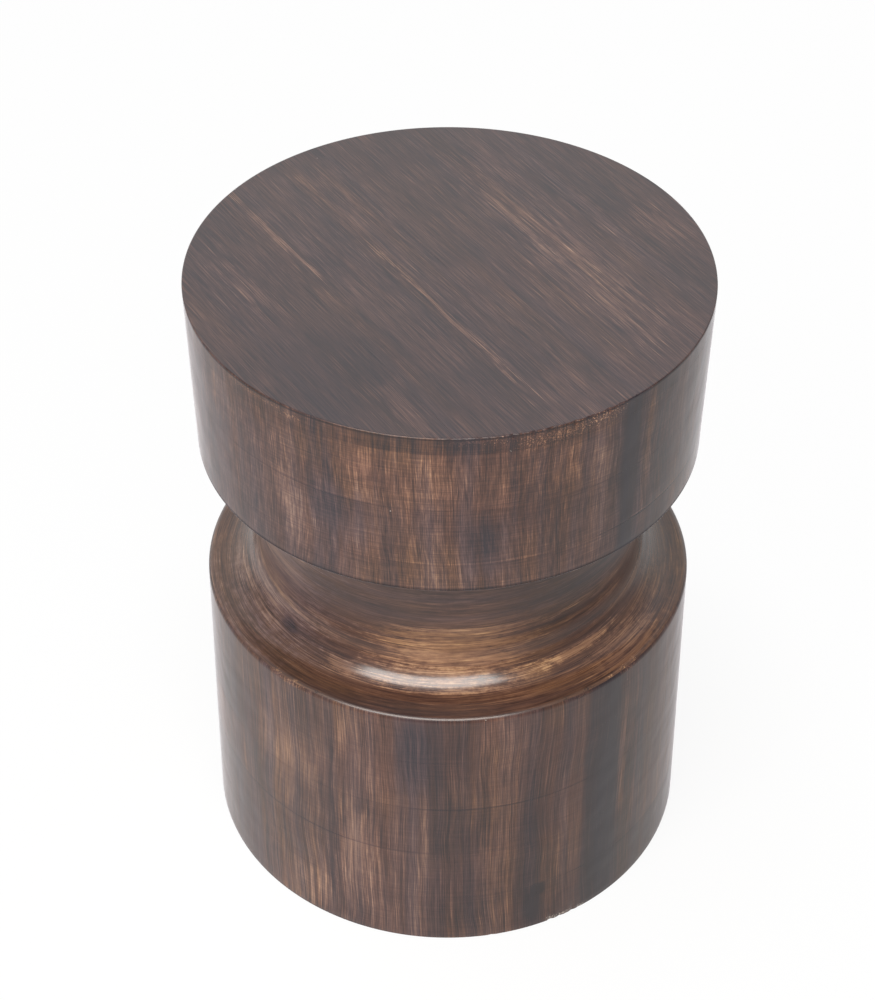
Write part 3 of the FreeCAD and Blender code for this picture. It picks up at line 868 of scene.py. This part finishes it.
def dentEdge(piece, height, dents):
    # knocks small hollows into a turned edge
    for azimuth, depth, width in dents:
        place = onDrum(azimuth, height)
        nearest = min((vertex.co for vertex in piece.data.vertices), key=lambda spot: (spot - place).length)
        if (nearest - place).length > edgeWear["dentReach"]:
            continue
        here = nearest.copy()
        selectVertices(piece, lambda spot: (spot - here).length < edgeWear["dentPick"])
        inwards = Vector((-place.x, -place.y, 0)).normalized() * depth * mm
        bpy.ops.transform.translate(value=inwards, use_proportional_edit=True,
                                    proportional_edit_falloff="SMOOTH", proportional_size=width * mm)
        bpy.ops.object.mode_set(mode="OBJECT")


def finishPiece(piece, node):
    makeActive(piece)
    bpy.ops.object.shade_smooth_by_angle(angle=math.radians(turned["smoothAngle"]))
    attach(piece, "root")
    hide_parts(node)


def makeCourses():
    quarter = 360 / courseBlocks["blocks"]
    byCourse, byBlock, start = courseBlocks["toneTurns"]
    for index, course in enumerate(courseBlocks["courses"]):
        low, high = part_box(course + "_block_1")
        pattern = turnBlock(course + "_pattern", low.z, high.z)
        turn = courseBlocks["firstJoint"] + courseBlocks["stagger"] * (index % 2)
        for number in range(courseBlocks["blocks"]):
            node = f"{course}_block_{number + 1}"
            block = ownCopy(pattern, node + "_wood")
            block.rotation_euler.z = math.radians(turn + quarter * number)
            bpy.ops.object.transform_apply(rotation=True)
            if index == 0:
                dentEdge(block, turned["footRound"], edgeWear["footDents"])
            paintBlock(block, low.z, high.z)
            atBack = math.sin(math.radians(turn + quarter * (number + 0.5))) > courseBlocks["backFrom"]
            spread = courseBlocks["backTone" if atBack else "frontTone"]
            storeTone(block, spread * math.sin(byCourse * index + byBlock * number + start))
            finishPiece(block, node)
        bpy.data.objects.remove(pattern)
        print("course turned:", course)


topBoards = {
    "boards": 4,
    "boardWidth": 98.75 * mm,
    "rimSteps": 1200,
    "arrisSteps": 3,
    "edgeRows": [2, 3, 5, 8],        # mm below the top
    "flatFacing": 0.99,              # the normal's rise from which a face counts as the flat top
    "rimInset": 3 * mm,
    "jointBevel": 0.08 * mm,
    "bevelAngle": 60,
    "topFacing": 0.9,                # limits of the normal that tell the top, the underside and the joints
    "undersideFacing": -0.5,
    "jointFacing": 0.98,
    "jointInset": 2 * mm,
    "tone": 0.04,                    # how far the boards differ in tone
    "toneTurns": (1.7, 0.6),         # radians by board, and to start with
}


def makeTopDisc():
    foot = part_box("top_board_1")[0].z
    arris = tableTop - turned["topArris"]
    selectNothing()
    bpy.ops.mesh.primitive_cylinder_add(
        vertices=topBoards["rimSteps"], radius=drumRadius, depth=tableTop - foot,
        location=(0, 0, 0.5 * (tableTop + foot)), end_fill_type="NGON")
    disc = bpy.context.object
    bpy.ops.object.transform_apply(location=True)
    bpy.ops.object.mode_set(mode="EDIT")
    bpy.ops.mesh.select_all(action="DESELECT")
    bpy.ops.object.mode_set(mode="OBJECT")
    for edge in disc.data.edges:
        edge.select = all(disc.data.vertices[v].co.z > tableTop - mm for v in edge.vertices)
    bpy.ops.object.mode_set(mode="EDIT")
    bpy.ops.mesh.bevel(offset=turned["topArris"], segments=topBoards["arrisSteps"], profile=0.5)
    for below in topBoards["edgeRows"]:
        bpy.ops.mesh.select_all(action="SELECT")
        bpy.ops.mesh.bisect(plane_co=(0, 0, tableTop - below * mm), plane_no=(0, 0, 1))
    # the drum's taper goes on through the boards' edge
    bpy.ops.object.mode_set(mode="OBJECT")
    taper = turned["waistTaper"] / (arris - turned["shoulderHeight"] - turned["shoulderRound"])
    for vertex in disc.data.vertices:
        drop = max(0.0, arris - vertex.co.z)
        vertex.co.x *= 1 - taper * drop / drumRadius
        vertex.co.y *= 1 - taper * drop / drumRadius
        vertex.select = False
    for face in disc.data.polygons:
        face.select = face.normal.z > topBoards["flatFacing"]
    bpy.ops.object.mode_set(mode="EDIT")
    bpy.ops.mesh.select_mode(type="FACE")
    bpy.ops.mesh.inset(thickness=topBoards["rimInset"])
    bpy.ops.object.mode_set(mode="OBJECT")
    return disc


def wearRim(disc):
    first, last = (math.radians(angle) for angle in edgeWear["roughStretch"])
    inside = drumRadius - edgeWear["roughWidth"]
    below = tableTop - edgeWear["roughHeight"]

    def onWornRim(spot):
        outside = spot.to_2d().length > inside and spot.z > below
        return outside and first < math.atan2(spot.y, spot.x) < last

    selectVertices(disc, onWornRim)
    bpy.ops.transform.vertex_random(offset=edgeWear["roughness"], seed=edgeWear["roughSeed"])
    bpy.ops.object.mode_set(mode="OBJECT")
    dentEdge(disc, tableTop - turned["topArris"], edgeWear["rimDents"])


def paintBoard(board, across):
    # stain on the top and the outer edge, bare wood on the joints and the underside
    for name in ("drum", "top", "bare"):
        board.data.materials.append(woods[name])
    inside = drumRadius - topBoards["jointInset"]
    for face in board.data.polygons:
        sideways = abs(face.normal.dot(across)) > topBoards["jointFacing"]
        joint = sideways and face.center.to_2d().length < inside
        if face.normal.z > topBoards["topFacing"]:
            face.material_index = 1
        elif face.normal.z < topBoards["undersideFacing"] or joint:
            face.material_index = 2


def makeTopBoards():
    disc = makeTopDisc()
    wearRim(disc)
    turn = math.radians(topFinish["strokeTurn"])
    across = Vector((-math.sin(turn), math.cos(turn), 0))
    width = topBoards["boardWidth"]
    byBoard, start = topBoards["toneTurns"]
    for number in range(topBoards["boards"]):
        node = f"top_board_{number + 1}"
        board = ownCopy(disc, node + "_wood")
        near = width * (number - topBoards["boards"] / 2)
        bpy.ops.object.mode_set(mode="EDIT")
        for side, reach in ((-1, near), (1, near + width)):
            bpy.ops.mesh.select_all(action="SELECT")
            bpy.ops.mesh.bisect(plane_co=across * reach, plane_no=across * side,
                                use_fill=True, clear_outer=True)
        bpy.ops.mesh.select_all(action="SELECT")
        bpy.ops.mesh.normals_make_consistent(inside=False)
        bpy.ops.object.mode_set(mode="OBJECT")
        bevelJoints(board, topBoards["jointBevel"], topBoards["bevelAngle"])
        paintBoard(board, across)
        storeTone(board, topBoards["tone"] * math.sin(byBoard * number + start))
        finishPiece(board, node)
    bpy.data.objects.remove(disc)
    print("top boards laid:", topBoards["boards"])


makeCourses()
makeTopBoards()

for node, material in (("base_panel", makePlywood()), ("locating_dowels", makeDowelWood()),
                       ("base_panel_screws", makeScrewSteel())):
    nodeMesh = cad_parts[node].data
    nodeMesh.materials.clear()
    nodeMesh.materials.append(material)
print("panel, dowels and screws finished")


# Studio: white sweep, a soft light above the camera, and daylight that fades from the left to the right

studio = {
    "floorSize": 14.0,
    "floorGrid": 8,
    "paper": (0.88, 0.88, 0.88, 1.0),
    "daylight": (1.0, 0.0),          # from the left and from the right
    "mirroredSky": (0.4, 1.0),       # how white the lacquer sees the room in front and the backdrop behind
    "skyFade": (0.3, 0.75),
    "floorDrop": 0.3 * mm,           # keeps the floor clear of the underside
    "seenWhite": (0.9, 0.97),        # how much of the floor the camera sees as plain white, near and far
    "whiteReach": (0.22, 0.4),       # metres from the table's axis
    "mirroredWhite": (0.2, 1.0),     # how much of it the lacquer sees, before and behind the table
    "mirroredFade": (0.0, 0.35),
    "mirroredRight": (1.0, 0.3),     # what is left of that towards the right
    "rightFade": (0.6, 0.75),
    "key": {"place": (-0.25, -1.4, 1.9), "aim": (0.0, 0.0, 0.28), "size": (2.2, 1.0), "power": 54.0,
            "colour": (1.0, 0.96, 0.91)},
    "camera": {"place": (0.0, -1.39804, 1.50277), "pitch": 40.802, "pan": -0.2576, "roll": 0.343,
               "focal": 2380.03, "imageHeight": 1000, "sensor": 36.0},
}


def rayKinds(tree):
    # the camera's own rays, and those that the lacquer mirrors
    rays = tree.nodes.new("ShaderNodeLightPath").outputs
    mirrored = calc(tree, "MAXIMUM", rays["Is Glossy Ray"], rays["Is Transmission Ray"])
    return rays["Is Camera Ray"], mirrored


def makeFloor():
    selectNothing()
    grid = studio["floorGrid"]
    bpy.ops.mesh.primitive_grid_add(x_subdivisions=grid, y_subdivisions=grid, size=studio["floorSize"])
    floor = bpy.context.object
    floor.name = "studioFloor"
    floor.location.z = -studio["floorDrop"]
    material = bpy.data.materials.new("whiteSweep")
    material.use_nodes = True
    tree = material.node_tree
    tree.nodes.clear()
    seen, mirrored = rayKinds(tree)
    place = tree.nodes.new("ShaderNodeTexCoord").outputs["Object"]
    whiteness = remap(tree, vector(tree, "LENGTH", place), *studio["whiteReach"], *studio["seenWhite"])
    ways = put(tree, "ShaderNodeSeparateXYZ", {0: place}).outputs
    behind = remap(tree, ways[1], *studio["mirroredFade"], *studio["mirroredWhite"])
    dimmed = remap(tree, ways[0], *studio["rightFade"], *studio["mirroredRight"])
    glow = calc(tree, "MULTIPLY", behind, dimmed)
    paper = put(tree, "ShaderNodeBsdfDiffuse", {"Color": studio["paper"]}).outputs[0]
    white = put(tree, "ShaderNodeEmission", {"Color": (1.0, 1.0, 1.0, 1.0), "Strength": 1.0}).outputs[0]
    share = calc(tree, "MAXIMUM", calc(tree, "MULTIPLY", seen, whiteness),
                 calc(tree, "MULTIPLY", mirrored, glow))
    mixed = put(tree, "ShaderNodeMixShader", {0: share, 1: paper, 2: white}).outputs[0]
    put(tree, "ShaderNodeOutputMaterial", {"Surface": mixed})
    floor.data.materials.append(material)


def makeWorld():
    world = bpy.data.worlds.new("studioWorld")
    bpy.context.scene.world = world
    world.use_nodes = True
    tree = world.node_tree
    seen, mirrored = rayKinds(tree)
    towards = tree.nodes.new("ShaderNodeTexCoord").outputs["Generated"]
    ways = put(tree, "ShaderNodeSeparateXYZ", {0: towards}).outputs
    daylight = remap(tree, ways[0], -1.0, 1.0, *studio["daylight"])
    sky = remap(tree, ways[1], *studio["skyFade"], *studio["mirroredSky"])
    unseen = put(tree, "ShaderNodeMix", {0: mirrored, 2: daylight, 3: sky}, data_type="FLOAT").outputs[0]
    strength = put(tree, "ShaderNodeMix", {0: seen, 2: unseen, 3: 1.0}, data_type="FLOAT").outputs[0]
    feed(tree, tree.nodes["Background"], {"Color": (1.0, 1.0, 1.0, 1.0), "Strength": strength})


def makeSoftbox(name):
    box = studio[name]
    lamp = bpy.data.lights.new(name + "Softbox", "AREA")
    lamp.shape = "RECTANGLE"
    lamp.size, lamp.size_y = box["size"]
    lamp.energy = box["power"]
    lamp.color = box["colour"]
    light = bpy.data.objects.new(name + "Softbox", lamp)
    light.location = box["place"]
    aim = Vector(box["aim"]) - Vector(box["place"])
    light.rotation_euler = aim.to_track_quat("-Z", "Y").to_euler()
    bpy.context.collection.objects.link(light)


def makeCamera():
    camera = studio["camera"]
    turns = [Matrix.Rotation(math.radians(angle), 4, axis) for angle, axis in (
        (90 - camera["pitch"], "X"), (-camera["pan"], "Y"), (camera["roll"], "Z"))]
    lens = bpy.data.cameras.new("photoCamera")
    lens.sensor_width = camera["sensor"]
    lens.lens = camera["focal"] / camera["imageHeight"] * camera["sensor"]
    view = bpy.data.objects.new("photoCamera", lens)
    view.matrix_world = turns[0] @ turns[1] @ turns[2]
    view.location = camera["place"]
    bpy.context.collection.objects.link(view)
    bpy.context.scene.camera = view


makeFloor()
makeWorld()
makeSoftbox("key")
makeCamera()
bpy.context.scene.view_settings.view_transform = "Standard"
print("studio set")
